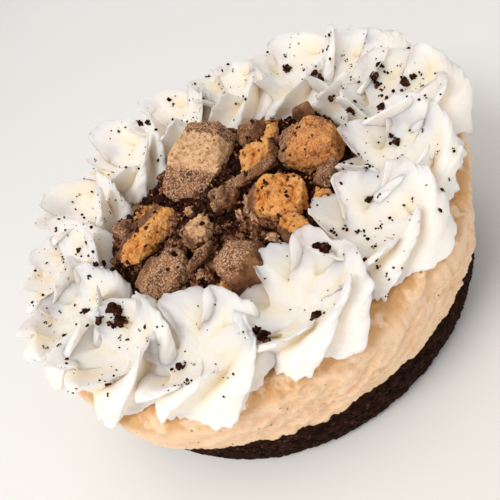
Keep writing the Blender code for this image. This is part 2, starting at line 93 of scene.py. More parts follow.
class Finish:
    def __init__(self, name):
        self.material = bpy.data.materials.new(name)
        self.material.use_nodes = True
        self.tree = self.material.node_tree
        self.shader = self.tree.nodes["Principled BSDF"]
        self.place = self.add("ShaderNodeTexCoord", {}).outputs["Object"]

    def add(self, kind, sockets, **settings):
        made = self.tree.nodes.new(kind)
        settle(made, **settings)
        for key, given in sockets.items():
            self.plug(made.inputs[key], given)
        return made

    def plug(self, socket, given):
        source = given.socket if isinstance(given, Value) else given
        if isinstance(source, bpy.types.NodeSocket):
            self.tree.links.new(source, socket)
        else:
            socket.default_value = source

    def vectorMaths(self, operation, first, second):
        return self.add("ShaderNodeVectorMath", {0: first, 1: second}, operation=operation)

    def stretched(self, scale):
        return self.vectorMaths("MULTIPLY", self.place, scale).outputs[0]

    def noise(self, size, detail, rough=0.5, bend=0.0, place=None):
        sockets = {"Vector": place or self.place, "Scale": 1 / size, "Detail": detail,
                   "Roughness": rough, "Distortion": bend}
        return Value(self, self.add("ShaderNodeTexNoise", sockets).outputs["Fac"])

    def voronoi(self, size, output):
        made = self.add("ShaderNodeTexVoronoi", {"Vector": self.place, "Scale": 1 / size})
        return made.outputs[output]

    def cells(self, size):
        return Value(self, self.voronoi(size, "Distance"))

    def cellTone(self, size):
        split = self.add("ShaderNodeSeparateColor", {0: self.voronoi(size, "Color")})
        return Value(self, split.outputs[0])

    def along(self, way, start=(0, 0, 0)):
        # how far a point lies from start along a direction, in metres
        moved = self.vectorMaths("SUBTRACT", self.place, start).outputs[0]
        made = self.vectorMaths("DOT_PRODUCT", moved, Vector(way).normalized())
        return Value(self, made.outputs["Value"])

    def attribute(self, name):
        made = self.add("ShaderNodeAttribute", {}, attribute_name=name)
        return Value(self, made.outputs["Fac"])

    def mix(self, factor, first, second):
        first = (*first, 1.0) if isinstance(first, tuple) else first
        sockets = {0: factor, 6: first, 7: (*second, 1.0) if isinstance(second, tuple) else second}
        return self.add("ShaderNodeMix", sockets, data_type="RGBA").outputs[2]

    def layers(self, colour, *coats):
        # lays colours over a colour, each by its own share
        for part, tone in coats:
            colour = self.mix(part, colour, tone)
        return colour

    def bump(self, height, depth, strength):
        sockets = {"Height": height, "Distance": depth, "Strength": strength}
        return self.add("ShaderNodeBump", sockets).outputs[0]

    def wear(self, **sockets):
        # sets or links the shader's own sockets, with _ for the space in their names
        for key, given in sockets.items():
            self.plug(self.shader.inputs[key.replace("_", " ")], given)
        return self.material


# Modelling helpers

def deselectAll():
    bpy.ops.object.select_all(action="DESELECT")


def named(name, material):
    # the primitive just added, with its place applied to its mesh
    piece = bpy.context.active_object
    bpy.ops.object.transform_apply()
    piece.name = name
    piece.data.materials.append(material)
    return piece


def applied(piece, kind, **settings):
    modifier = piece.modifiers.new(kind.lower(), kind)
    settle(modifier, **settings)
    with bpy.context.temp_override(object=piece, active_object=piece):
        bpy.ops.object.modifier_apply(modifier=modifier.name)


def relief(piece, size, depth, pattern="CLOUDS", group=""):
    # pushes a surface in and out by a solid pattern
    texture = bpy.data.textures.new("relief", pattern)
    texture.noise_scale = size
    if pattern == "CLOUDS":
        texture.noise_depth = 3
    applied(piece, "DISPLACE", texture=texture, texture_coords="LOCAL", strength=depth,
            mid_level=0.5, vertex_group=group)


def roundRings(profile, segments, placed):
    # rings of points, one for each row of a profile, each point placed by its angle and row
    angles = [fullTurn * k / segments for k in range(segments)]
    return [[placed(angle, *row) for angle in angles] for row in profile]


def pointsOf(piece):
    flat = np.empty(3 * len(piece.data.vertices), dtype=np.float32)
    piece.data.vertices.foreach_get("co", flat)
    return flat.reshape(-1, 3).astype(float)


def setPoints(piece, points):
    piece.data.vertices.foreach_set("co", points.astype(np.float32).ravel())
    piece.data.update()


def ringed(name, rings, lowMiddle, highMiddle, material):
    # a ball primitive whose rings of points are moved onto the given rings
    count = len(rings[0])
    deselectAll()
    bpy.ops.mesh.primitive_uv_sphere_add(segments=count, ring_count=len(rings) + 1)
    piece = named(name, material)
    ball = pointsOf(piece)
    climb = np.arccos(np.clip(-ball[:, 2], -1, 1)) / math.pi * (len(rings) + 1)
    step = np.rint(climb).astype(int) - 1
    angle = np.arctan2(ball[:, 1], ball[:, 0]) / fullTurn * count
    sample = np.rint(angle).astype(int) % count
    points = np.asarray(rings)[np.clip(step, 0, len(rings) - 1), sample]
    points[step < 0] = lowMiddle
    points[step >= len(rings)] = highMiddle
    setPoints(piece, points)
    return piece, step, sample


def layPaintedShading(piece, values):
    # how deep each point lies, as a layer that the shaders turn into painted shade in hollows and
    # crevices, and on some finishes into painted highlight on bumps
    layer = piece.data.attributes.new("deep", "FLOAT", "POINT")
    layer.data.foreach_set("value", values.astype(np.float32))


def markHollows(piece, rounds, reach):
    # measures how far each point lies under its surroundings, for painted shade in hollows and
    # painted highlight on bumps
    count = len(piece.data.vertices)
    ends = np.empty(2 * len(piece.data.edges), dtype=np.int32)
    piece.data.edges.foreach_get("vertices", ends)
    first, last = ends.reshape(-1, 2).T
    links = np.maximum(np.bincount(ends, minlength=count), 1)
    points = pointsOf(piece)
    even = points.copy()
    for _ in range(rounds):
        total = [np.bincount(first, even[last, axis], count)
                 + np.bincount(last, even[first, axis], count) for axis in range(3)]
        even = np.stack(total, axis=1) / links[:, None]
    normals = np.empty(3 * count, dtype=np.float32)
    piece.data.vertices.foreach_get("normal", normals)
    deep = ((even - points) * normals.reshape(-1, 3)).sum(axis=1) / reach
    layPaintedShading(piece, np.clip(deep, -1, 1))


def treeOf(*pieces):
    points = []
    faces = []
    for piece in pieces:
        start = len(points)
        points += [vert.co.copy() for vert in piece.data.vertices]
        faces += [[start + k for k in face.vertices] for face in piece.data.polygons]
    return BVHTree.FromPolygons(points, faces)


def polar(angle, radius):
    return Vector((radius * math.cos(angle), radius * math.sin(angle), 0.0))


def between(pair, part):
    return pair[0] + (pair[1] - pair[0]) * part


def share(value, start, width):
    # 0 up to start, then rising to 1 over the width
    return min(1.0, max(0.0, (value - start) / width))


# Camera, at the photograph's view

view = {
    "elevation": 38.7792,
    "roll": 35.6786,
    "focal": 41.849136,
    "near": 5 * mm,
    "distance": 130.275 * mm,
    "target": (-2.02 * mm, -10.815 * mm, 25 * mm),
}


def makeCamera():
    elevation = math.radians(view["elevation"])
    roll = math.radians(view["roll"])
    back = Vector((0, -math.cos(elevation), math.sin(elevation)))
    side = Vector((1, 0, 0))
    rise = back.cross(side)
    right = math.cos(roll) * side - math.sin(roll) * rise
    up = math.sin(roll) * side + math.cos(roll) * rise
    placed = Matrix((right, up, back)).transposed().to_4x4()
    placed.translation = Vector(view["target"]) + back * view["distance"]
    bpy.ops.object.camera_add()
    camera = bpy.context.active_object
    camera.matrix_world = placed
    settle(camera.data, lens=view["focal"], clip_start=view["near"])
    bpy.context.scene.camera = camera


light = {
    "world": 0.56,
    "worldColour": (1.0, 0.985, 0.965, 1.0),
    "aim": (0, 0, 20 * mm),
    "floor": 1.6,
    "floorDrop": 0.02 * mm,
    "floorColour": (0.86, 0.855, 0.845),
    "speckle": 40 * mm,
    "speckleTone": 0.985,
}
# place, size, power and colour
lamps = {
    "key": ((-0.35, -0.25, 0.62), 0.32, 2.9, (1.0, 0.97, 0.93)),
    "fill": ((-0.05, -0.62, 0.22), 0.5, 0.75, (1.0, 0.97, 0.93)),
    "rear": ((0.10, 0.65, 0.45), 0.5, 0.8, (1.0, 0.98, 0.95)),
}


def makeStudio():
    world = bpy.data.worlds.new("studio")
    bpy.context.scene.world = world
    world.use_nodes = True
    background = world.node_tree.nodes["Background"]
    background.inputs["Color"].default_value = light["worldColour"]
    background.inputs["Strength"].default_value = light["world"]
    for name, (place, size, power, colour) in lamps.items():
        deselectAll()
        bpy.ops.object.light_add(type="AREA", location=place)
        lamp = bpy.context.active_object
        lamp.name = name + "Light"
        settle(lamp.data, size=size, energy=power, color=colour)
        aim = Vector(light["aim"]) - lamp.location
        lamp.rotation_euler = aim.to_track_quat("-Z", "Y").to_euler()
    deselectAll()
    bpy.ops.mesh.primitive_plane_add(size=light["floor"], location=(0, 0, -light["floorDrop"]))
    paint = Finish("paleFloor")
    speckle = paint.noise(light["speckle"], 2)
    tone = tuple(light["speckleTone"] * c for c in light["floorColour"])
    colour = paint.mix(speckle, light["floorColour"], tone)
    floor = named("floor", paint.wear(Base_Color=colour, Roughness=0.7))


makeCamera()
makeStudio()
bpy.context.scene.view_settings.view_transform = "Standard"
print("camera and studio set")


# Crumb base

baseLook = {
    "footRadius": 46.9 * mm,
    "topRadius": 49.2 * mm,
    "height": 12.4 * mm,
    "bulge": 1.2 * mm,
    "segments": 640,
    "sideCuts": 27,
    "capInsets": 9,
    "relief": ((2.6 * mm, 0.9 * mm), (0.8 * mm, 0.75 * mm), (0.35 * mm, 0.3 * mm)),
    "bulgePower": 0.7,
    "side": 0.9,
    "foot": 0.02,
    "over": 0.2 * mm,
    "hollows": (8, 0.2 * mm),
    "tones": ((0.006, 0.0018, 0.0009), (0.030, 0.0105, 0.0055), (0.120, 0.060, 0.038)),
}


def crumbFinish(name, tones, size, sprinkle=0.12, withPaintedShading=False):
    dark, brown, pale = tones
    paint = Finish(name)
    patches = paint.noise(3.2 * size, 4, 0.6)
    crumbs = paint.cellTone(size)
    colour = paint.mix(patches.above(0.38, 0.62), dark, brown)
    if withPaintedShading:
        # painted shade: darker in the hollows; painted highlight: browner on the bumps
        deep = paint.attribute("deep")
        colour = paint.layers(
            colour, (deep.above(0.0, 0.7) * 0.8, dark), ((0 - deep).above(0.2, 1.0) * 0.5, brown))
    fine = paint.noise(0.3 * size, 3, 0.6)
    colour = paint.layers(
        colour, (crumbs.above(0.98 - sprinkle, 1.08 - sprinkle) * 0.6, pale),
        (fine.above(0.55, 0.75) * 0.35, brown))
    return paint.wear(
        Base_Color=colour, Roughness=0.62 + 0.3 * paint.noise(size, 2), Specular_IOR_Level=0.04,
        Normal=paint.bump(fine + 0.6 * paint.cells(0.55 * size), 0.3 * size, 0.8))


def makeBase():
    look = baseLook
    finish = crumbFinish("baseCrumb", look["tones"], 0.5 * mm, 0.07, withPaintedShading=True)
    middle = (0, 0, 0.5 * look["height"])
    deselectAll()
    bpy.ops.mesh.primitive_cylinder_add(vertices=look["segments"], radius=look["footRadius"],
                                        depth=look["height"], location=middle)
    piece = named("crumbBase", finish)
    bpy.ops.object.mode_set(mode="EDIT")
    work = bmesh.from_edit_mesh(piece.data)
    bpy.ops.mesh.select_mode(type="EDGE")
    for edge in work.edges:
        low, high = sorted(vert.co.z for vert in edge.verts)
        edge.select_set(high - low > 0.5 * look["height"])
    bmesh.update_edit_mesh(piece.data)
    bpy.ops.mesh.subdivide(number_cuts=look["sideCuts"])
    bpy.ops.mesh.select_mode(type="FACE")
    step = look["footRadius"] / (look["capInsets"] + 1)
    for up in (1, -1):
        bpy.ops.mesh.select_all(action="DESELECT")
        work = bmesh.from_edit_mesh(piece.data)
        for face in work.faces:
            face.select_set(len(face.verts) > 4 and face.normal.z * up > 0.5)
        bmesh.update_edit_mesh(piece.data)
        for _ in range(look["capInsets"]):
            bpy.ops.mesh.inset(thickness=step)
        bpy.ops.mesh.poke()
    bpy.ops.object.mode_set(mode="OBJECT")
    points = pointsOf(piece)
    part = points[:, 2] / look["height"]
    bulge = look["bulge"] * np.sin(math.pi * np.clip(part, 0, 1)) ** look["bulgePower"]
    wide = between((look["footRadius"], look["topRadius"]), part) + bulge
    points[:, :2] *= (wide / look["footRadius"])[:, None]
    setPoints(piece, points)
    grow = piece.vertex_groups.new(name="side")
    reach = np.hypot(points[:, 0], points[:, 1])
    onSide = (reach > look["side"] * look["footRadius"]) & (part > look["foot"])
    grow.add(np.flatnonzero(onSide).tolist(), 1.0, "REPLACE")
    for size, depth in look["relief"]:
        relief(piece, size, depth, group="side")
    points = pointsOf(piece)
    points[:, 2] = np.clip(points[:, 2], 0.0, look["height"] + look["over"])
    setPoints(piece, points)
    markHollows(piece, *look["hollows"])
    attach(piece, "root")
    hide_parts("crumb_base")


makeBase()
print("base made")


# Mousse layer

mousseLook = {
    "foot": 12.55 * mm,
    "top": 30.0 * mm,
    "footRadius": 50.1 * mm,
    "rimRadius": 53.2 * mm,
    "rimDrop": 3.2 * mm,
    "flatRadius": 49.0 * mm,
    "segments": 900,
    "sideRings": 40,
    "sidePart": 0.82,
    "rimRings": 16,
    "topRings": 12,
    "side": (46 * mm, 3 * mm),
    "rim": (26 * mm, 3 * mm),
    "lift": 0.5,
    "smears": 9,
    "smearWaves": (3, 13),
    "smearClimb": 260,
    "smearDepth": 0.24 * mm,
    "streak": (12.0 * mm, 2.4 * mm, 0.7 * mm),
    "slant": 0.3,
    "torn": (3.0 * mm, 0.65 * mm),
    "patch": (24 * mm, 0.5, 0.45, 1.1),
    "lumps": (0.9 * mm, 0.25 * mm),
    "pits": (2.9 * mm, 2.5 * mm, 0.42),
    "hollows": (14, 0.16 * mm),
    "tones": ((0.88, 0.63, 0.42), (0.80, 0.50, 0.28), (0.64, 0.34, 0.115), (0.20, 0.09, 0.045)),
}


def mousseFinish():
    paint = Finish("mousse")
    swirl = paint.noise(7 * mm, 5, 0.6, 0.8, paint.stretched((1, 1, 2.0)))
    deep = paint.attribute("deep")
    mottle = paint.noise(1.6 * mm, 3, 0.6).above(0.56, 0.74)
    height = paint.along((0, 0, 1))
    blotch = paint.noise(4 * mm, 3, 0.55)
    # blotches over the rim and the top: their darker orange is partly the oily layer and partly
    # painted shade under the cream's foot and beside the heap; the lower roughness there is real
    # gloss. The foot gets a little of the same darker tone.
    oilAndShade = height.above(26.2 * mm, 28.8 * mm) * blotch.above(0.36, 0.50)
    foot = 1 - height.above(12.6 * mm, 13.6 * mm)
    # painted shade: small dark dots for the shade inside tiny holes
    holeShadeDots = 1 - paint.cells(1.9 * mm).above(0.07, 0.17)
    pick = paint.noise(2.6 * mm, 1).above(0.46, 0.54)
    pale, tan, oilAndShadeTone, speck = mousseLook["tones"]
    # painted shade: tan in the hollows; painted highlight: paler on the bumps
    colour = paint.layers(
        tan, (swirl.above(0.32, 0.56), pale), (deep.above(0.05, 0.8) * 0.6, tan),
        ((0 - deep).above(0.1, 0.9) * 0.5, pale), (mottle * 0.4, tan), (oilAndShade * 0.85, oilAndShadeTone),
        (height.above(29.6 * mm, 29.9 * mm) * 0.5, oilAndShadeTone), (foot * 0.3, oilAndShadeTone),
        (holeShadeDots * pick * 0.8, speck))
    fine = paint.noise(0.7 * mm, 4, 0.65)
    pores = 1 - paint.cells(0.8 * mm).above(0.05, 0.25)
    return paint.wear(
        Base_Color=colour, Roughness=0.55 + 0.16 * fine - 0.3 * oilAndShade,
        Normal=paint.bump(fine - 0.5 * pores, 0.28 * mm, 0.7), Subsurface_Weight=0.25,
        Subsurface_Scale=2.0 * mm, Subsurface_Radius=(1.0, 0.5, 0.25))


def makeMousse():
    look = mousseLook
    draw = random.Random(5)
    rimHeight = look["top"] - look["rimDrop"]
    profile = []
    for k in range(look["sideRings"]):
        part = look["sidePart"] * k / (look["sideRings"] - 1)
        radius = between((look["footRadius"], look["rimRadius"]), math.sin(0.5 * math.pi * part))
        profile.append((radius, between((look["foot"], rimHeight), part)))
    for k in range(look["rimRings"]):
        lean = 0.5 * math.pi * k / (look["rimRings"] - 1)
        radius = between((look["flatRadius"], look["rimRadius"]), math.cos(lean))
        profile.append((radius, rimHeight + look["rimDrop"] * math.sin(lean)))
    for k in range(1, look["topRings"]):
        profile.append((look["flatRadius"] * (1 - k / look["topRings"]), look["top"]))
    smears = []
    for _ in range(look["smears"]):
        waves = draw.randint(*look["smearWaves"])
        climb = draw.uniform(-look["smearClimb"], look["smearClimb"])
        smears.append((waves, climb, look["smearDepth"] * draw.uniform(0.6, 1.2),
                       draw.uniform(0, fullTurn)))
    longSide, tallSide, streakDepth = look["streak"]
    tornSize, tornDepth = look["torn"]
    patchSize, evenPatch, rightPatch, patchNoise = look["patch"]
    lumpSize, lumpDepth = look["lumps"]
    pitSize, pitDepth, pitLevel = look["pits"]

    def placed(angle, radius, height):
        push = sum(depth * math.sin(waves * angle + climb * height + phase)
                   for waves, climb, depth, phase in smears)
        flat = polar(angle, 1.0)
        spot = flat * radius
        raised = height + look["slant"] * radius * math.sin(2 * angle)
        wide = Vector((spot.x / longSide, spot.y / longSide, raised / tallSide))
        push += streakDepth * noise.noise(wide)
        patch = evenPatch + rightPatch * math.cos(angle + 0.5)
        patch = share(patch + patchNoise * noise.noise(spot / patchSize), 0, 1)
        solid = Vector((spot.x, spot.y, height))
        push += tornDepth * patch * noise.fractal(solid / tornSize, 0.6, 2.0, 4)
        push += lumpDepth * noise.noise(solid / lumpSize)
        pit = noise.noise(solid / pitSize + Vector((9, 4, 2)))
        push -= pitDepth * max(0.0, pit - pitLevel)
        place = flat * (radius + push * share(radius, *look["side"]))
        return place.x, place.y, height + look["lift"] * push * share(height, *look["rim"])

    rings = roundRings(profile, look["segments"], placed)
    piece, _, _ = ringed("mousse", rings, (0, 0, look["foot"]), (0, 0, look["top"]),
                         mousseFinish())
    markHollows(piece, *look["hollows"])
    piece.data.shade_smooth()
    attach(piece, "root")
    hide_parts("mousse_layer")


makeMousse()
print("mousse made")


# Piped cream

rosetteLook = {
    "foot": 30.1 * mm,
    "reach": 13.6 * mm,
    "squeeze": (1.14, 0.86),
    "sharpness": (0.75, 0.8),
    "steepSide": (0.9, 1.1),
    "broadSide": (1.9, 1.7),
    "holeSide": 1.0,
    "skew": (0.5, 0.68),
    "valley": (0.79, 0.60),
    "bowl": (0.72, 0.8, 3.0),
    "evenBowl": 0.8,
    "open": 0.4,
    "offCentre": 1.6 * mm,
    "tipPlace": 0.80,
    "hollow": 0.36,
    "gapHeight": (0.38, 0.8),
    "holeGap": 0.75,
    "notch": 0.34,
    "tuck": (0.10, 9),
    "bulge": (0.75, 1.0),
    "drop": (0.9, 3.0),
    "overhang": 0.2,
    "wrap": 0.35,
    "inward": 0.5,
    "samples": 28,
    "rises": 72,
    "falls": 34,
    "ragged": 1.1 * mm,
    "teeth": 12,
    "footTeeth": 14,
    "swayTeeth": 5,
    "wave": 0.06,
    "footEdge": 0.85 * mm,
    "footBand": 0.05,
    "spikes": {112: (4, 1.2), 138: (3, 1.2)},
    "short": {295: 0.93, 320: 0.88, 345: 1.27, 10: 1.05},
    "droop": 1.0 * mm,
    "droopPower": 1.3,
    "rim": (50.5 * mm, 5 * mm),
    "hang": {345: 3.4, 10: 2.0},
    "shade": (0.15, 1.7, 0.75),
    "relief": ((6.0 * mm, 1.2 * mm), (1.3 * mm, 0.2 * mm)),
    # cream white, and the warm painted shade laid in the crevices between fins
    "tones": ((0.925, 0.858, 0.80), (0.93, 0.745, 0.46)),
}
# angle and radius of the middle, height, fins, turn of the first fin, twist, tilt outwards, lean
# outwards and lean to the left; lengths in mm, turns in degrees
rosettes = (
    (270, 41.1, 10.2, 6, 20, 74, -0.12, 0.6, 0.0),
    (295, 41.8, 10.6, 6, 20, 76, -0.12, 0.4, 0.0),
    (320, 41.6, 11.6, 5, 35, 74, -0.10, 0.4, 0.5),
    (345, 41.9, 11.6, 6, 10, 78, -0.08, 1.0, 0.0),
    (10, 42.0, 11.4, 6, 45, 76, -0.06, 1.0, 0.5),
    (35, 42.0, 11.8, 5, 20, 76, 0.0, 0.5, 0.0),
    (61, 41.8, 11.8, 6, 0, 78, 0.0, 0.5, 0.5),
    (87, 41.8, 12.0, 5, 30, 76, 0.0, 0.5, 0.0),
    (112, 42.0, 12.0, 6, 15, 78, 0.0, 0.5, -1.0),
    (138, 42.0, 12.0, 5, 40, 76, 0.0, 0.5, 0.0),
    (164, 42.2, 11.8, 6, 5, 78, -0.04, 0.8, 0.0),
    (190, 42.0, 11.4, 6, 25, 76, -0.06, 0.8, 0.5),
    (217, 42.0, 11.2, 5, 15, 76, -0.08, 1.0, 0.0),
    (243, 42.3, 10.4, 6, 30, 74, -0.12, 0.5, 0.0),
)


def creamFinish():
    paint = Finish("whippedCream")
    deep = paint.attribute("deep")
    cloud = paint.noise(6 * mm, 3, 0.5)
    # painted shade: a warm yellow tone in the crevices between fins, varied by the cloud
    colour = paint.mix(deep * (0.6 + 0.6 * cloud), *rosetteLook["tones"])
    fine = paint.noise(0.8 * mm, 4, 0.62)
    streak = paint.noise(0.9 * mm, 2, 0.5, 0.0, paint.stretched((1, 1, 0.35)))
    bubbles = 1 - paint.cells(0.55 * mm).above(0.02, 0.2)
    return paint.wear(
        Base_Color=colour, Roughness=0.46 + 0.2 * fine, Specular_IOR_Level=0.4,
        Normal=paint.bump(fine + 0.5 * streak - 0.4 * bubbles, 0.14 * mm, 0.55),
        Subsurface_Weight=0.8, Subsurface_Scale=4.0 * mm, Subsurface_Radius=(1.0, 0.8, 0.6))


def finValues(fins, turn, twist, height, tilt, draw):
    # foot direction, twist, reach, tip height, tip place, gap height, skew and bulge of each fin
    look = rosetteLook
    values = []
    for k in range(fins):
        direction = math.radians(turn) + fullTurn * (k + draw.uniform(-0.26, 0.26)) / fins
        swirl = math.radians(twist + draw.uniform(-12, 12))
        reach = look["reach"] * (1 + draw.uniform(-0.12, 0.04))
        tip = height * (1 + tilt * math.cos(direction + swirl) + draw.uniform(-0.22, 0.08))
        place = look["tipPlace"] + draw.uniform(-0.10, 0.08)
        gap = height * draw.uniform(*look["gapHeight"])
        values.append((direction, swirl, reach, tip, place, gap, draw.uniform(*look["skew"]),
                       draw.uniform(*look["bulge"])))
    values.append((values[0][0] + fullTurn, *values[0][1:]))
    return np.array(values)


def ragLine(count, teeth, draw):
    # a jagged run of numbers between -1 and 1, in two sizes of teeth
    total = np.zeros(count)
    for many, depth in ((teeth, 0.65), (int(2.6 * teeth), 0.35)):
        knots = np.array([draw.uniform(-1, 1) for _ in range(many + 1)])
        total += depth * np.interp(np.linspace(0, many, count), np.arange(many + 1), knots)
    return total


def rosetteRings(row, seed):
    # rings from the foot up the fins and down into the hollow, in the rosette's own frame: x
    # outwards, y to the left; also the hollow's middle, and how deep between fins each point lies,
    # as the warm painted shade of the crevices
    look = rosetteLook
    angle, _, height, fins, turn, twist, tilt, _, _ = row
    draw = random.Random(seed)
    values = finValues(fins, turn, twist, height * mm, tilt, draw)
    if angle in look["spikes"]:
        tall, taller = look["spikes"][angle]
        values[tall, 3] *= taller
    steps = np.arange(look["samples"])
    dense = 0.5 - 0.5 * np.cos(math.pi * steps / look["samples"])
    part = np.tile(0.5 * dense + 0.5 * steps / look["samples"], fins)
    low = np.repeat(np.arange(fins), look["samples"])
    near = (low + (part > 0.5)) % fins
    skew = values[low, 6]
    blend = part * part * (3 - 2 * part)
    direction = values[low, 0] * (1 - part) + values[low + 1, 0] * part
    blended = values[low] * (1 - blend[:, None]) + values[low + 1] * blend[:, None]
    _, swirl, reach, tip, tipPlace, _, _, bulge = blended.T
    gap = values[low, 5]
    middle = look["hollow"] * values[:-1, 3].mean()
    count = look["rises"] + look["falls"]
    rags = np.array([ragLine(count, look["teeth"], draw) for _ in range(fins)])
    sways = np.array([ragLine(count, look["swayTeeth"], draw) for _ in range(fins)])
    offOut, offLeft = [draw.uniform(-1, 1) * look["offCentre"] for _ in range(2)]
    footRag = ragLine(len(part) + 1, look["footTeeth"] * fins, draw)[:-1]
    footRag = footRag - np.linspace(footRag[0], footRag[-1], len(footRag))
    bowlWide, bowlHigh, bowlPower = look["bowl"]
    tuckDepth, tuckPace = look["tuck"]
    shadeStart, shadePower, shadeFade = look["shade"]
    rings = []
    deep = []
    for step in range(count):
        rise = min(step / (look["rises"] - 1), 1.0)
        fall = max(step - look["rises"] + 1, 0) / (look["falls"] + 1)
        left = 1 - fall
        lean = 0.5 * math.pi * rise
        turned = (1 - look["wrap"]) * rise + look["wrap"] * rise ** 3
        swing = direction + swirl * turned + look["inward"] * fall
        holeSide = 0.5 - 0.5 * np.cos(swing)
        skewed = part ** (skew + (1 - skew) * holeSide * rise)
        wave = np.sin(math.pi * skewed)
        steep = 1 - wave ** between(look["steepSide"], rise)
        outerBroad = between(look["broadSide"], rise)
        broad = 1 - wave ** between((outerBroad, look["holeSide"]), holeSide * rise)
        ridge = np.where(skewed < 0.5, steep, broad) ** between(look["sharpness"], rise)
        tuck = 1 - tuckDepth * (1 - min(1.0, tuckPace * rise)) ** 2
        finOut = tuck * between((tipPlace, 1), math.cos(lean)) * left ** look["drop"][0]
        finUp = tip * (bulge * math.sin(lean) + (1 - bulge) * rise)
        dipOut = tuck * between(look["valley"], 1 - math.cos(lean)) * left
        dipOut = dipOut * (1 - look["notch"] * holeSide * rise)
        dipUp = gap * math.sin(lean) * (1 - look["holeGap"] * holeSide)
        dipUp = np.maximum(dipUp, 0.95 * middle * math.sin(lean))
        if fall:
            kept = left ** look["drop"][1]
            finUp, dipUp = between((middle, finUp), kept), between((middle, dipUp), kept)
        out = reach * between((dipOut, finOut), ridge)
        out = out * between((look["short"].get(angle, 1.0), 1.0), holeSide)
        up = between((dipUp, finUp), ridge)
        smooth = min(1.0, 2.8 * fall)
        smooth = look["evenBowl"] * smooth * smooth * (3 - 2 * smooth)
        smooth = smooth * (1 - look["open"] * holeSide * (1 - ridge))
        out = between((out, bowlWide * look["reach"] * left), smooth)
        up = between((up, between((middle, bowlHigh * height * mm), left ** bowlPower)), smooth)
        edge = ridge ** 6 * max(0.0, 1 - 7 * fall) * min(1.0, 0.3 + 2 * rise)
        rag = look["ragged"] * rags[near, step] * edge
        out = out + rag * (0.3 + 0.7 * math.cos(lean))
        atFoot = math.exp(-((rise - look["footBand"]) / look["footBand"]) ** 2)
        out = out + look["footEdge"] * (0.6 + 1.1 * footRag) * atFoot
        sunk = 0.3 * look["footEdge"] * footRag * atFoot
        up = np.maximum(up + rag * math.sin(lean) - sunk, 0.0)
        hung = ridge ** 2 * math.sin(0.7 * math.pi * rise) * left * (1 - 0.8 * holeSide)
        swing = swing + look["overhang"] * hung
        swing = swing + look["wave"] * sways[near, step] * ridge * rise
        across = between(look["squeeze"], holeSide) * out * np.sin(swing)
        point = [out * np.cos(swing) + offOut * fall, across + offLeft * fall, up]
        rings.append(np.stack(point, axis=1))
        # warm painted shade in the valleys between fins, more higher up, fading into the hollow
        shade = np.clip((1 - ridge) * (0.3 + 0.7 * rise) - shadeStart, 0, 1)
        deep.append((shade * (1 - shadeFade * fall)) ** shadePower)
    return np.array(rings), np.array([offOut, offLeft, middle]), np.array(deep)


def placedOnPie(row, rings, top):
    # leans a rosette, moves it to its place and lets its outer foot hang over the mousse's rim
    look = rosetteLook
    angle, radius, height, _, _, _, _, leanOut, leanLeft = row
    rise = (rings[:, :, 2] / (height * mm)) ** 2
    rings[:, :, 0] += leanOut * mm * rise
    rings[:, :, 1] += leanLeft * mm * rise
    axes = np.array([polar(math.radians(angle + turn), 1.0) for turn in (0, 90)] + [(0, 0, 1)])
    foot = radius * mm * axes[0] + look["foot"] * axes[2]
    placed = foot + rings @ axes
    rimRadius, rimWidth = look["rim"]
    beyond = (np.hypot(placed[:, :, 0], placed[:, :, 1]) - rimRadius) / rimWidth
    lowness = np.clip(1 - rings[:, :, 2] / rimWidth, 0, 1)
    droop = look["droop"] * look["hang"].get(angle, 1.0)
    placed[:, :, 2] -= droop * np.clip(beyond, 0, 1) ** look["droopPower"] * lowness
    return placed, foot, foot + top @ axes


def makeRosettes():
    finish = creamFinish()
    made = []
    for index, row in enumerate(rosettes):
        rings, top, deep = rosetteRings(row, 100 + index)
        rings, low, high = placedOnPie(row, rings, top)
        piece, step, sample = ringed(f"rosette{index + 1:02d}", rings, low, high, finish)
        deep = deep[np.clip(step, 0, len(deep) - 1), sample]
        deep[step < 0] = 0.0
        layPaintedShading(piece, deep)
        for size, depth in rosetteLook["relief"]:
            relief(piece, size, depth)
        piece.data.shade_smooth()
        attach(piece, "root")
        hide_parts(f"cream_dollop_{index + 1:02d}")
        made.append(piece)
    return made


rosettePieces = makeRosettes()
print("rosettes piped")


# Chopped sweets: each is cut from its own solid, roughened and coloured

# relief rows: size and depth in mm, and the pattern where it isn't clouds
flakeRelief = ((1.5, 0.9), (0.9, 0.4, "VORONOI"), (0.4, 0.25))
sweetLook = {
    "voxel": 0.27 * mm,
    "merged": 0.004 * mm,
    "chocolate": ((0.115, 0.039, 0.016), (0.28, 0.120, 0.053)),
    "nut": ((0.18, 0.042, 0.007), (0.66, 0.225, 0.038), (0.92, 0.47, 0.16), (0.34, 0.122, 0.038)),
    "sand": ((0.42, 0.195, 0.085), (0.84, 0.53, 0.29)),
    "dust": (0.82, 0.53, 0.32),
    "speck": (0.050, 0.018, 0.010),
    "rough": {
        "chocolate": ((1.9, 0.3), (1.3, 0.3, "VORONOI"), (0.45, 0.2)),
        "nut": ((3.4, 0.8), (1.7, -0.45, "VORONOI"), (0.65, -0.4, "VORONOI"), (0.5, 0.5)),
        "dusted": ((3.0, 0.9), (0.7, -0.25, "VORONOI"), (0.5, 0.4)),
        "clump_middle": ((2.4, 2.0), (1.1, -0.8, "VORONOI"), (0.5, 0.5)),
        "brown_middle": ((2.4, 1.2), (1.4, 0.5, "VORONOI"), (0.5, 0.3)),
        "flake_back": flakeRelief, "flake_front": flakeRelief},
    "hollows": (26, 0.26 * mm),
}
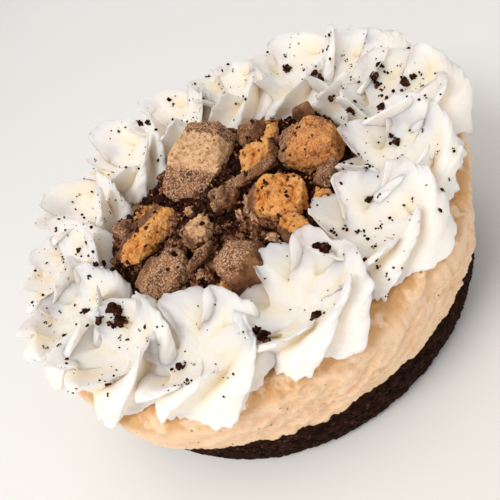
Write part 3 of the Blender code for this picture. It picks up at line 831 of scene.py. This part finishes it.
# kind, the side that shows chocolate (a direction and where it starts, in mm), and dust
sweets = {
    "dusted": ("dusted", (-1.0, -0.75, -0.35), 3.5, 0.9),
    "triangle": ("chocolate", (-0.5, -0.5, 0.6), 0.0, 0.5),
    "nutty_back": ("nut", (0.9, -0.3, -0.4), 2.9, 0.0),
    "nutty_right": ("nut", (-0.7, 0.5, 0.3), 4.2, 1.2),
    "nutty_small": ("nut", (0, 0, -1), 9, 0.0),
    "nutty_front": ("nut", (-0.9, 0.6, 0.2), 4.2, 0.0),
    "flake_back": ("chocolate", (0, 0.4, 1), -0.2, 0.6),
    "brown_middle": ("chocolate", (-0.2, 0.5, 0.8), -1.0, 0.8),
    "shard_right": ("chocolate", (0.3, 0, 1), -0.4, 0.7),
    "bit_right": ("nut", (0.5, 0.5, -1), 1.2, 0.6),
    "layered_left": ("nut", (-0.4, 1.0, 0.5), 1.5, 0.0),
    "bit_left": ("chocolate", (0, 0, 1), -9, 0.7),
    "slab_left": ("chocolate", (0.3, -0.6, -0.6), -2.5, 1.0),
    "block_front": ("chocolate", (-0.5, 0.4, 0.8), 0.8, 0.9),
    "wedge_front": ("nut", (-0.9, -0.2, -0.2), 0.6, 0.1),
    "clump_middle": ("dusted", (-0.8, 0.2, -0.5), -0.4, 0.7),
    "flake_front": ("chocolate", (0, 0.4, 1), 0.0, 0.7),
    "bit_front": ("nut", (1, 0, 0.3), 1.2, 0.2),
    "chip_right": ("chocolate", (0, 0, 1), -9, 0.25),
}


def fillingOf(paint, kind, dust, grain, fine, blotch, deep):
    if kind == "dusted":
        dark, pale = sweetLook["sand"]
        # sandy filling, with painted shade darker in the hollows
        return paint.layers(
            dark, (grain.above(0.36, 0.6), pale), (blotch.above(0.55, 0.68) * 0.45, dark),
            (deep.above(0.1, 0.9) * 0.6, dark))
    dark, orange, pale, toasted = sweetLook["nut"]
    wide = paint.noise(4.0 * mm, 3, 0.6, 0.5)
    # nut filling: painted highlight paler on the bumps, painted shade darker in the hollows
    return paint.layers(
        dark, (blotch.above(0.24, 0.5), orange),
        (wide.above(0.46, 0.62) * (0.75 - 0.5 * dust), pale), (grain.above(0.5, 0.66) * 0.5, pale),
        ((0 - deep).above(0.05, 0.9) * (0.6 - 0.3 * dust), pale),
        ((1 - wide.above(0.36, 0.5)) * (0.05 + 0.9 * dust), toasted),
        (fine.above(0.54, 0.62) * (0.2 + 0.4 * dust), dark), (deep.above(0.05, 0.7) * 0.85, dark))


def sweetFinish(name, kind, way, start, dust, middle):
    look = sweetLook
    paint = Finish(name + "Finish")
    grain = paint.noise(1.0 * mm, 4, 0.65)
    fine = paint.noise(0.35 * mm, 3, 0.65)
    blotch = paint.noise(3.2 * mm, 4, 0.6)
    deep = paint.attribute("deep")
    dark, brown = look["chocolate"]
    # painted shade: darker in the hollows
    colour = paint.layers(
        dark, (blotch.above(0.38, 0.62), brown), (deep.above(0.1, 0.9) * 0.7, dark))
    edge = paint.along(way, middle) + 2.4 * mm * (grain - 0.5)
    patch = paint.noise(2.6 * mm, 3, 0.6).above(0.66 - 0.4 * dust, 0.80 - 0.4 * dust)
    powder = paint.noise(0.42 * mm, 4, 0.75).above(0.46, 0.60)
    if kind == "chocolate":
        coated = 1.0
        patch = patch * edge.above((start - 0.8) * mm, (start + 0.8) * mm)
    else:
        coated = edge.above((start - 0.3) * mm, (start + 0.3) * mm)
        if kind == "dusted" and start > 1:
            farEnd = (0 - edge).above((start + 2.2) * mm, (start + 2.8) * mm)
            coated = coated.maths("MAXIMUM", coated, farEnd)
        filling = fillingOf(paint, kind, dust, grain, fine, blotch, deep)
        colour = paint.mix(coated, filling, colour)
    if kind == "nut":
        powder = powder * 0.45
    crumbs = paint.cellTone(0.6 * mm).above(0.965, 0.975)
    dusty = powder * (0.12 + 0.88 * patch) * (0.3 + 0.5 * dust)
    colour = paint.layers(colour, (dusty, look["dust"]), (crumbs * 0.75, look["speck"]))
    return paint.wear(
        Base_Color=colour, Roughness=0.8 - 0.3 * coated * (1 - 0.7 * dust), Specular_IOR_Level=0.2,
        Normal=paint.bump(fine + 0.9 * grain, 0.28 * mm, 0.9), Subsurface_Weight=0.06,
        Subsurface_Scale=0.8 * mm)


def makeSweets():
    made = []
    for name, (kind, way, start, dust) in sweets.items():
        node = nodes["sweet_" + name]
        deselectAll()
        piece = node.copy()
        piece.data = node.data.copy()
        for key in list(piece.keys()):
            del piece[key]
        bpy.context.scene.collection.objects.link(piece)
        piece.name = "sweet" + "".join(word.capitalize() for word in name.split("_"))
        low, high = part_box("sweet_" + name)
        middle = 0.5 * (low + high)
        work = bmesh.new()
        work.from_mesh(piece.data)
        bmesh.ops.remove_doubles(work, verts=work.verts, dist=sweetLook["merged"])
        work.to_mesh(piece.data)
        work.free()
        piece.data.materials.clear()
        piece.data.materials.append(sweetFinish(piece.name, kind, way, start, dust, middle))
        applied(piece, "REMESH", mode="VOXEL", voxel_size=sweetLook["voxel"])
        for size, depth, *pattern in sweetLook["rough"].get(name, sweetLook["rough"][kind]):
            relief(piece, size * mm, depth * mm, *pattern)
        markHollows(piece, *sweetLook["hollows"])
        piece.data.shade_smooth()
        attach(piece, "root")
        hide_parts("sweet_" + name)
        made.append(piece)
    return made


sweetPieces = makeSweets()
print("sweets chopped")


# Heap of crumbs

heapLook = {
    "foot": 30.1 * mm,
    "radius": 30.4 * mm,
    "height": 7.4 * mm,
    "edgeHeight": 3.2 * mm,
    "segments": 300,
    "rings": 46,
    "relief": ((3.0 * mm, 2.0 * mm), (1.2 * mm, 1.1 * mm)),
    "low": (12, 150, 4.2 * mm, 0.7),
    "tones": ((0.011, 0.0028, 0.0014), (0.055, 0.019, 0.0095), (0.19, 0.088, 0.052)),
}


def heapTop(angle, part):
    # a low dome that is lower still along its rim from start to end, in degrees
    look = heapLook
    swell = math.cos(0.5 * math.pi * min(part, 1.0)) ** 1.2
    start, end, drop, inner = look["low"]
    back = max(0.0, math.sin(math.pi * (math.degrees(angle) - start) / (end - start)))
    back = back ** 0.4 if start < math.degrees(angle) < end else 0.0
    dome = between((look["edgeHeight"], look["height"]), swell)
    dome -= drop * back * max(0.0, part - inner) / (1 - inner)
    lumps = 0.5 * math.sin(3 * angle + 1.0) + 0.4 * math.sin(5 * angle - 7 * part)
    return dome + lumps * mm * part


def makeHeap():
    look = heapLook
    finish = crumbFinish("heapCrumb", look["tones"], 0.8 * mm)

    def placed(angle, step):
        part = min(1.0, 1.0 - (step - 1) / look["rings"])
        spot = polar(angle, part * look["radius"])
        return spot.x, spot.y, look["foot"] + (heapTop(angle, part) if step else 0.0)

    rings = roundRings([(k,) for k in range(look["rings"] + 1)], look["segments"], placed)
    high = (0, 0, look["foot"] + heapTop(0, 0))
    piece, _, _ = ringed("heapCore", rings, (0, 0, look["foot"]), high, finish)
    for size, depth in look["relief"]:
        relief(piece, size, depth)
    points = pointsOf(piece)
    points[:, 2] = np.maximum(points[:, 2], look["foot"])
    setPoints(piece, points)
    piece.data.shade_smooth()
    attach(piece, "root")
    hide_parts("crumb_heap")
    return piece


heap = makeHeap()
print("heap made")


# Loose grains

# least and greatest of a pebble's three widths
pebbleWidths = ((0.8, 1.25), (0.7, 1.1), (0.55, 0.95))


def grainShapes(count, subdivisions, rough, seed):
    # lumpy pebbles of unit size, as points and faces
    draw = random.Random(seed)
    shapes = []
    for _ in range(count):
        deselectAll()
        bpy.ops.mesh.primitive_ico_sphere_add(subdivisions=subdivisions, radius=0.5)
        ball = bpy.context.active_object
        points = pointsOf(ball)
        faces = np.array([list(face.vertices) for face in ball.data.polygons])
        shift = Vector([draw.uniform(-50, 50) for _ in range(3)])
        stretch = np.array([draw.uniform(*ends) for ends in pebbleWidths])
        push = [1 + rough * noise.noise(Vector(p) * 3.2 + shift)
                + 0.5 * rough * draw.uniform(-1, 1) for p in points]
        shapes.append((points * np.array(push)[:, None] * stretch, faces))
        mesh = ball.data
        bpy.data.objects.remove(ball, do_unlink=True)
        bpy.data.meshes.remove(mesh)
    return shapes


def scatter(name, shapes, places, material, seed):
    # one mesh of many grains: each place is a point and a size
    draw = random.Random(seed)
    allPoints = []
    allFaces = []
    start = 0
    for spot, size in places:
        points, faces = shapes[draw.randrange(len(shapes))]
        spin = Euler([draw.uniform(0, fullTurn) for _ in range(3)]).to_matrix()
        allPoints.append(points @ np.array(spin).T * size + np.array(spot))
        allFaces.append(faces + start)
        start += len(points)
    mesh = bpy.data.meshes.new(name)
    mesh.from_pydata(np.concatenate(allPoints).tolist(), [], np.concatenate(allFaces).tolist())
    piece = bpy.data.objects.new(name, mesh)
    bpy.context.scene.collection.objects.link(piece)
    mesh.materials.append(material)
    mesh.shade_smooth()
    mesh.set_sharp_from_angle(angle=math.radians(38))
    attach(piece, "root")


def dropOn(tree, x, y, start=0.08):
    hit, normal, _, _ = tree.ray_cast(Vector((x, y, start)), Vector((0, 0, -1)))
    return hit, normal


# how many, sizes in mm and seed; dust is counted by the square mm, chunk grains by the chunk
grainLook = {
    "heapDark": (2150, (0.6, 2.4), 11),
    "heapBrown": (240, (0.5, 2.4), 12),
    "heapNut": (420, (0.3, 1.1), 13),
    "sweetDust": (3.4, (0.14, 0.42), 14),
    "chunkGrain": (4, (0.4, 1.2), 15),
    "sweetCrumb": (190, (0.35, 1.1), 16),
}
# finish, tones, cell size in mm, sprinkle and slot
bitLook = {
    "brown": ("chocolateGrain", ((0.095, 0.031, 0.014), (0.26, 0.11, 0.055), (0.60, 0.36, 0.22)),
              0.42, 0.2, "sweet_chocolate"),
    "sand": ("sandGrain", ((0.40, 0.18, 0.085), (0.68, 0.40, 0.225), (0.88, 0.62, 0.42)),
             0.4, 0.3, "sweet_peanut"),
    "nut": ("nutGrain", ((0.42, 0.13, 0.025), (0.66, 0.27, 0.07), (0.90, 0.55, 0.26)),
            0.4, 0.3, "sweet_peanut"),
}
# chopped bits in the heap: x, y and size in mm
heapChunks = {
    "brown": (
        (-25.2, 8.6, 3.9), (-22.9, 2.6, 2.8), (-15.1, -8.3, 2.5), (-13.9, -4.1, 1.9),
        (-11.1, -2.0, 2.2), (-12.9, -11.3, 2.5), (-8.4, -11.8, 1.7), (-9.7, -18.8, 1.9),
        (-10.6, -22.2, 2.5), (-8.0, -20.5, 1.9), (-8.9, -24.8, 1.9), (-14.7, -23.1, 1.9),
        (-17.3, -23.1, 2.5), (-19.1, -20.5, 1.9), (-16.0, -24.9, 1.9), (-14.2, -26.2, 1.4),
        (-4.4, -17.9, 1.9), (-2.3, -20.1, 1.9), (-0.1, -17.9, 2.2), (0.9, -21.5, 2.5),
        (-1.7, -22.7, 1.9), (-3.3, -23.5, 1.7), (-7.1, -16.1, 1.4), (4.1, -20.6, 2.2),
        (5.5, -23.6, 1.9), (1.9, -23.2, 1.9), (0.8, -26.8, 1.9), (3.7, -28.8, 1.9),
        (7.2, -12.9, 1.4), (10.5, -24.9, 1.6), (15.6, -20.7, 1.9), (9.5, -3.2, 3.3),
        (7.9, -1.5, 1.9), (3.8, 2.4, 1.9), (0.2, 3.0, 1.9), (5.2, 6.0, 1.4), (17.1, 1.2, 1.4),
        (8.6, -7.4, 1.7), (17.6, -4.3, 1.7), (12.5, -9.5, 1.4), (-18.2, -14.2, 1.1),
        (-3.3, -14.2, 1.1), (-5.3, -14.2, 1.4), (-17.6, 12.8, 2.2), (-9.5, 21.8, 2.6),
        (2.8, 22.6, 2.2), (11.8, 18.9, 2.8), (20.6, 14.2, 2.0), (5.6, 17.6, 1.7),
        (-3.8, 19.0, 1.6), (24.8, 3.2, 2.0), (-24.0, -4.8, 2.2)),
    "sand": (
        (-7.8, -3.1, 1.9), (-12.7, -21.4, 1.7), (2.6, -18.0, 1.7), (0.5, -14.7, 1.9),
        (2.4, -14.3, 1.7), (3.6, -11.9, 1.7), (3.1, -25.2, 2.2), (-10.9, -27.6, 1.8),
        (15.8, -23.2, 2.5), (14.8, -25.7, 1.9), (0.0, -7.4, 1.7), (-5.8, 24.4, 1.6),
        (16.2, 16.6, 1.7)),
    "nut": (
        (-5.9, -8.9, 1.9), (-4.4, -20.1, 1.0), (-9.8, -28.4, 2.5), (-12.2, -17.9, 1.6),
        (-13.6, -17.0, 1.4), (-18.9, 8.0, 3.0), (-16.2, 9.9, 2.6), (-20.6, 5.4, 1.8),
        (18.6, 10.6, 2.6), (19.8, 8.0, 1.8), (7.6, 14.6, 1.6), (-1.0, 21.6, 2.4), (9.2, 22.0, 1.5),
        (22.4, 11.0, 1.2)),
}


def heapPlaces(kind, tree, sink):
    count, sizes, seed = grainLook[kind]
    draw = random.Random(seed)
    places = []
    for _ in range(count):
        size = between(sizes, draw.random() ** 3) * mm
        spot = polar(draw.uniform(0, fullTurn), math.sqrt(draw.random()) * 30.2 * mm)
        hit, _ = dropOn(tree, spot.x, spot.y)
        if hit and hit.z > heapLook["foot"] + 1.5 * mm:
            places.append((hit + Vector((0, 0, sink * size)), size))
    return places


def strewHeap(coarse, cookie):
    # loose grains over the heap, then chopped bits with their own grains round them
    tree = treeOf(heap)
    scatter("heapGrains", coarse, heapPlaces("heapDark", tree, 0.2), cookie, 21)
    finishes = {kind: crumbFinish(name, tones, size * mm, sprinkle)
                for kind, (name, tones, size, sprinkle, _) in bitLook.items()}
    places = {"brown": heapPlaces("heapBrown", tree, 0.35), "sand": [],
              "nut": heapPlaces("heapNut", tree, 0.5)}
    chunks = grainShapes(9, 3, 0.6, 65)
    each, sizes, seed = grainLook["chunkGrain"]
    draw = random.Random(seed)
    for index, (kind, rows) in enumerate(heapChunks.items()):
        spots = []
        for x, y, size in rows:
            hit, _ = dropOn(tree, x * mm, y * mm)
            if not hit:
                continue
            spots.append((hit + Vector((0, 0, 0.3 * size * mm)), 1.35 * size * mm))
            for _ in range(each):
                off = polar(draw.uniform(0, fullTurn), draw.uniform(0.5, 0.9) * size * mm)
                near, _ = dropOn(tree, hit.x + off.x, hit.y + off.y)
                if near:
                    places[kind].append((near, between(sizes, draw.random()) * mm))
        scatter(kind + "Chunks", chunks, spots, finishes[kind], 25 + index)
        scatter(kind + "Grains", coarse, places[kind], finishes[kind], 22 + index)
    return finishes["sand"]


def dustSweets(sand):
    # sandy dust in patches on the upper sides
    dense, sizes, seed = grainLook["sweetDust"]
    draw = random.Random(seed)
    tree = treeOf(*sweetPieces)
    places = []
    for name, (_, _, _, dust) in sweets.items():
        low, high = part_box("sweet_" + name)
        area = (high.x - low.x) * (high.y - low.y) / mm ** 2
        for _ in range(int(area * dust * dense)):
            hit, normal = dropOn(tree, draw.uniform(low.x, high.x), draw.uniform(low.y, high.y))
            if hit and normal.z > 0.2 and noise.noise(hit / (1.9 * mm)) > draw.uniform(-0.25, 0.2):
                places.append((hit, between(sizes, draw.random() ** 2) * mm))
    scatter("sweetDust", grainShapes(5, 1, 0.5, 62), places, sand, 29)


def crumbSweets(coarse, cookie):
    # small groups of dark grains on every sweet but the dusted one
    count, sizes, seed = grainLook["sweetCrumb"]
    draw = random.Random(seed)
    tree = treeOf(*sweetPieces[1:])
    places = []
    while len(places) < count:
        spot = polar(draw.uniform(0, fullTurn), math.sqrt(draw.random()) * 26 * mm)
        hit, normal = dropOn(tree, spot.x, spot.y)
        if hit and normal.z > 0.1:
            for _ in range(draw.randint(1, 4)):
                off = polar(draw.uniform(0, fullTurn), draw.uniform(0, 0.7) * mm)
                near, _, _, _ = tree.find_nearest(hit + off)
                places.append((near, between(sizes, draw.random() ** 2) * mm))
    scatter("sweetCrumbs", coarse, places, cookie, 30)


coarseGrains = grainShapes(7, 2, 0.55, 61)
cookieFinish = crumbFinish("cookieGrain", heapLook["tones"], 0.6 * mm)
dustSweets(strewHeap(coarseGrains, cookieFinish))
crumbSweets(coarseGrains, cookieFinish)
print("grains scattered")


# Crumbs on the cream: place and size in mm of the larger ones, then how thickly the specks lie
# by the angle

creamCrumbs = (
    (-31.4, -16.8, 38.1, 2.8), (-31.7, -18.5, 36, 3.1), (-30.9, -17.7, 37.1, 2.2),
    (-35, -17.6, 38.3, 1.9), (-39.5, -5.6, 33.9, 1.8), (34.2, -20.7, 35.5, 2.1),
    (34, -22.3, 34.5, 2.1), (42.5, -2.9, 38.2, 2.2), (42.3, -4.1, 36.8, 2.1),
    (42.5, -5.3, 35.6, 1.3), (46.6, -8, 35.4, 2.8), (48.1, -9.1, 36, 1.7), (48.9, -10.1, 37, 0.9),
    (39.1, -8.8, 34.5, 2), (41.2, -8.5, 34.5, 2), (35.6, 13.5, 38.9, 2.1), (35.9, 12.8, 36.8, 2.1),
    (34.2, 29.4, 35.6, 2.8), (32.6, -8.7, 38.5, 2.1), (32.9, -9.1, 37.2, 1.4),
    (39.7, -20.4, 39.8, 1.6), (33.2, 2.2, 36.9, 1.8), (-9, -43.9, 36.5, 1.9),
    (-8.7, -45.9, 36.4, 2.5), (-8.7, -47.6, 36.3, 1.6), (-11.1, -44, 37.6, 1.1),
    (0.7, -46.9, 34.4, 1.9), (7.6, -37.9, 38.5, 1.9), (8.9, -39, 38.5, 1.9), (7.9, -40.9, 39, 1.7),
    (12.1, -34.5, 36.1, 1.4), (14.1, -34.4, 34.6, 1.3), (15.8, -35.6, 33.9, 1.3),
    (16.4, -36.8, 33.8, 1.1), (15.8, -41.3, 34, 1.2), (13.4, -48, 37.9, 1.1), (13.7, -46, 34.2, 1),
    (13.8, -48.5, 34.4, 1.2), (12.4, -50.4, 31.6, 1), (19, -38.3, 34, 1.1), (21, -32.5, 35.8, 1.6),
    (22.5, -33.9, 36, 1), (23.9, -29.9, 39.9, 1.7), (24.4, -32, 41.4, 1.4), (24.9, -34.3, 37.3, 1),
    (21.9, -24.1, 38.8, 1), (26.6, -38.8, 35.4, 1.1), (37.4, -23, 35.2, 1.4), (39, -25.2, 35.6, 1),
    (36.6, -34.4, 35.4, 1.1), (38.5, -36.5, 37.3, 1.1), (31.4, -42.6, 36.9, 1.1),
    (34.4, -39.7, 33.6, 0.9), (35.7, -7.3, 36, 1.1), (33.1, -0.3, 32.4, 1.1),
    (45.1, -2.7, 38.5, 1.9), (45.7, -3.5, 37.8, 1.4), (47.2, -13.6, 35.7, 1),
    (48.5, -4.5, 37.9, 1.1), (43.2, 22.3, 37.4, 1.1), (42.5, 16.8, 40.2, 1), (44.6, 15.6, 36.7, 1),
    (44.4, 14.2, 35.6, 1.1), (44.3, 12.5, 34.8, 1), (41.1, 14.2, 36, 1.1), (36.2, 32.4, 37.5, 1.4),
    (37.3, 25, 34.5, 1.4), (38.2, -0.8, 40.1, 1.2), (36.4, 0.1, 38.5, 1.1), (-22.9, 46.1, 38.8, 1),
    (-22.1, 41, 35.2, 0.9), (-20.7, 41.7, 34.8, 0.9), (-18.5, 42.5, 34.6, 0.9),
    (-5.9, 44, 40.7, 2), (-4.2, 39.8, 41.4, 1.8), (4.4, 51.1, 38.7, 1.6), (4.4, 50, 37.3, 1.3),
    (16.9, 46.9, 39.4, 1.4), (18.1, 43.8, 37.3, 1), (18.3, 43.4, 35.6, 1), (16.4, 28.6, 40.9, 0.9),
    (20.8, 45.6, 39.4, 1.1), (23.8, 44.2, 37.6, 1), (17.9, 29.6, 35.6, 1.4),
    (-25.3, 21.5, 35.6, 1.1), (-27.1, 18.3, 36.8, 1.2), (-34.1, 35.9, 37.4, 1),
    (-30.9, 36.7, 37.8, 1.1), (-38.9, 22.1, 40.2, 1.4), (-41.5, 17.8, 35.4, 1.4),
    (-41.3, 16.7, 34.9, 1.2), (-36.6, 15.4, 35.6, 1.6), (-37.1, 19.8, 38.4, 1),
    (-34.5, -1.5, 38, 1.2), (-31.9, -1.2, 39.5, 1.6), (-32, 5.9, 34.2, 1.6),
    (-32.1, 5.9, 31.2, 1.1), (-45.2, 18.1, 36.6, 0.9), (-39.3, 2.5, 38.5, 0.9),
    (-44.9, -1.8, 35.3, 1), (-48.5, -3, 35.9, 0.9), (-48.2, -13.2, 37.3, 1.4),
    (-43.9, -18.2, 39.6, 1.2), (-43.6, -21.3, 38.2, 1.1), (-44.6, -23.3, 38.5, 1),
    (-42.7, -32.5, 39.5, 1), (-41.8, -32.4, 39.7, 0.9), (-37.1, -33.4, 37.1, 1.4),
    (-37.4, -35.9, 37.1, 0.9), (-33.2, -21.4, 34.6, 1.2), (-32, -22.7, 34.3, 1.1),
    (-28.8, -23.3, 34.7, 1), (-26.5, -33, 39.6, 1), (-24.5, -37.4, 34, 1.7),
    (-23.8, -38, 33.8, 1.3), (-23.1, -45.8, 38.5, 1.4), (-22.2, -47.1, 39.2, 1.2),
    (-23.2, -37, 33.8, 0.9), (-21.8, -39, 33.8, 0.9),
)
crumbThickness = ((0, 1.0), (40, 0.8), (90, 0.9), (130, 0.7), (155, 1.0), (180, 0.8), (215, 0.6),
                  (245, 0.45), (275, 0.35), (300, 0.6), (330, 0.95), (360, 1.0))
speckLook = {"count": 560, "ring": (30.5, 53.5), "size": (0.26, 1.0)}


def makeCreamCrumbs():
    draw = random.Random(77)
    tree = treeOf(*rosettePieces)
    clumps = []
    for x, y, z, size in creamCrumbs:
        spot, normal, _, _ = tree.find_nearest(Vector((x, y, z)) * mm)
        if size > 1.5:
            clumps.append((spot + normal * 0.15 * size * mm, 0.85 * size * mm))
        for _ in range(int(2 + 2.4 * size)):
            off = Vector([draw.gauss(0, 0.25) * size * mm for _ in range(3)])
            off -= normal * off.dot(normal) * 0.8
            clumps.append((spot + off + normal * 0.1 * size * mm,
                           between((0.2, 0.5), draw.random() ** 1.5) * size * mm))
    scatter("creamClumps", grainShapes(6, 2, 0.6, 63), clumps, cookieFinish, 31)
    specks = []
    angles, weights = zip(*crumbThickness)
    while len(specks) < speckLook["count"]:
        angle = draw.uniform(0, 360)
        if draw.random() > np.interp(angle, angles, weights):
            continue
        spot = polar(math.radians(angle), draw.uniform(*speckLook["ring"]) * mm)
        hit, normal = dropOn(tree, spot.x, spot.y)
        if hit:
            size = between(speckLook["size"], draw.random() ** 3) * mm
            specks.append((hit + normal * 0.15 * size, size))
    scatter("creamSpecks", grainShapes(6, 1, 0.5, 64), specks, cookieFinish, 32)


makeCreamCrumbs()
print("cream crumbs scattered")

for name, node in nodes.items():
    if not node.hide_render:
        print("still the plain solid:", name)
